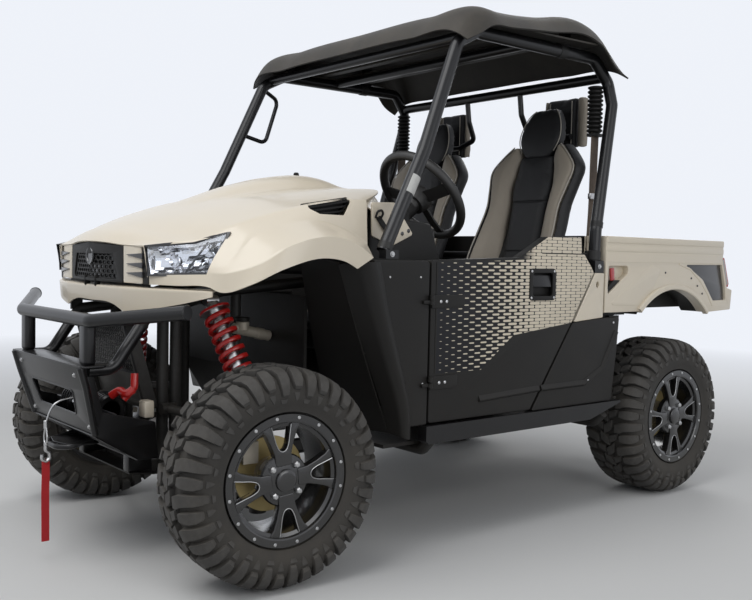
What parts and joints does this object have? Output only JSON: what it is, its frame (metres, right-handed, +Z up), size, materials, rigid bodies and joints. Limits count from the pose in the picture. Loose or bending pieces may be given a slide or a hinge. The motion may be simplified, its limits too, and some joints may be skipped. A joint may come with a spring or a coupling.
{
  "type": "side by side utility vehicle",
  "caption": "Open off-road utility vehicle with side-by-side seats, tube cage with roof, hinged doors and hood, steered front wheels, tilting cargo bed with tailgate, and a front winch.",
  "frame": {"origin": "middle of the vehicle's length and width, on the ground", "axes": "+X forward, +Y to the driver's left, +Z up"},
  "size_m": [2.908, 1.5384, 1.892],
  "materials": {
    "cream_panel": "glossy moulded-in cream",
    "black_mould": "fine textured black",
    "black_paint": "gloss black powder coat",
    "frame_paint": "satin black powder coat",
    "tyre_rubber": "matt, lightly dusty",
    "rim_black": "satin black cast rim",
    "cast_metal": "cast, dark",
    "bare_alloy": "cast alloy",
    "damper_silver": "satin",
    "spring_red": "gloss red",
    "steel": "dull steel",
    "seat_cover": "grained vinyl with taupe bolsters",
    "lamp_lens": "clear over bright reflectors",
    "tail_red": "red lens",
    "strap_red": "woven red webbing"
  },
  "bodies": {
    "chassis": {"suspension_arms": "frame_paint", "rear_uprights": "cast_metal", "dampers": "damper_silver", "springs": "spring_red", "half_shafts": "steel", "final_drives": "bare_alloy", "drive_shaft": "steel", "engine_block": "bare_alloy", "silencer": "steel", "step_tubes": "black_paint", "frame_rails": "frame_paint", "front_frame": "frame_paint", "rear_frame": "frame_paint", "hitch": "frame_paint", "front_bumper": "black_paint", "skid_plate": "black_mould", "winch": "black_paint", "radiator": "bare_alloy", "floor_tub": "black_mould", "front_lip": "cream_panel", "mudguards": "black_mould", "quarter_panels": "cream_panel", "side_panels": "black_mould", "dash": "black_mould", "cowl_panels": "cream_panel", "cage_front": "black_paint", "cage_rear": "black_paint", "roof": "black_mould", "seat_left": "seat_cover", "seat_right": "seat_cover", "head_pads": "seat_cover", "belt_retractors": "black_mould", "brake_cylinder": "black_mould", "winch_cable": "steel", "winch_hook": "black_paint", "pull_strap": "strap_red"},
    "hood": {"hood": "cream_panel", "headlights": "lamp_lens", "grille": "black_mould"},
    "door_left": {"door_left": "black_mould"},
    "door_right": {"door_right": "black_mould"},
    "bed": {"bed_box": "black_mould", "bed_fenders": "cream_panel", "tail_lights": "tail_red"},
    "tailgate": {"tailgate": "black_mould"},
    "steering_wheel": {"steering_wheel": "black_mould"},
    "steering_rack": {"steering_rack": "steel"},
    "knuckle_left": {"knuckle_left": "cast_metal"},
    "knuckle_right": {"knuckle_right": "cast_metal"},
    "wheel_front_left": {"tyre_front_left": "tyre_rubber", "rim_front_left": "rim_black"},
    "wheel_front_right": {"tyre_front_right": "tyre_rubber", "rim_front_right": "rim_black"},
    "wheel_rear_left": {"tyre_rear_left": "tyre_rubber", "rim_rear_left": "rim_black"},
    "wheel_rear_right": {"tyre_rear_right": "tyre_rubber", "rim_rear_right": "rim_black"}
  },
  "joints": [
    {"name": "hood_tilt", "type": "hinge", "parent": "chassis", "child": "hood", "pos_m": [1.278, 0, 0.885], "axis": [0, 1, 0], "range_deg": [0, 55]},
    {"name": "door_left_swing", "type": "hinge", "parent": "chassis", "child": "door_left", "pos_m": [0.4275, 0.708, 0.6], "axis": [0, 0, -1], "range_deg": [0, 70]},
    {"name": "door_right_swing", "type": "hinge", "parent": "chassis", "child": "door_right", "pos_m": [0.4275, -0.708, 0.6], "axis": [0, 0, 1], "range_deg": [0, 70]},
    {"name": "bed_tilt", "type": "hinge", "parent": "chassis", "child": "bed", "pos_m": [-1.24, 0, 0.69], "axis": [0, -1, 0], "range_deg": [0, 38]},
    {"name": "tailgate_drop", "type": "hinge", "parent": "bed", "child": "tailgate", "pos_m": [-1.375, 0, 0.82], "axis": [0, -1, 0], "range_deg": [0, 90]},
    {"name": "steer_left", "type": "hinge", "parent": "chassis", "child": "knuckle_left", "pos_m": [0.985, 0.555, 0.325], "axis": [0, 0, 1], "range_deg": [-25, 35]},
    {"name": "steer_right", "type": "hinge", "parent": "chassis", "child": "knuckle_right", "pos_m": [0.985, -0.555, 0.325], "axis": [0, 0, 1], "range_deg": [-26, 36]},
    {"name": "rack_slide", "type": "slide", "parent": "chassis", "child": "steering_rack", "axis": [0, 1, 0], "range_m": [-0.07, 0.05]},
    {"name": "steering_wheel_turn", "type": "hinge", "parent": "chassis", "child": "steering_wheel", "pos_m": [0.15, 0.34, 1.2], "axis": [-0.788, 0, 0.6157], "range_deg": [-228, 318]},
    {"name": "spin_front_left", "type": "hinge", "parent": "knuckle_left", "child": "wheel_front_left", "pos_m": [0.985, 0.555, 0.325], "axis": [0.0872, 0.9962, 0], "continuous": true},
    {"name": "spin_front_right", "type": "hinge", "parent": "knuckle_right", "child": "wheel_front_right", "pos_m": [0.985, -0.555, 0.325], "axis": [0.0872, 0.9962, 0], "continuous": true},
    {"name": "spin_rear_left", "type": "hinge", "parent": "chassis", "child": "wheel_rear_left", "pos_m": [-0.965, 0.555, 0.325], "axis": [0, 1, 0], "continuous": true},
    {"name": "spin_rear_right", "type": "hinge", "parent": "chassis", "child": "wheel_rear_right", "pos_m": [-0.965, -0.555, 0.325], "axis": [0, 1, 0], "continuous": true}
  ],
  "couplings": [
    {"joint": "steer_right", "follows": "steer_left", "ratio": 1},
    {"joint": "rack_slide", "follows": "steer_left", "m_per_rad": -0.1},
    {"joint": "steering_wheel_turn", "follows": "steer_left", "ratio": 9}
  ]
}
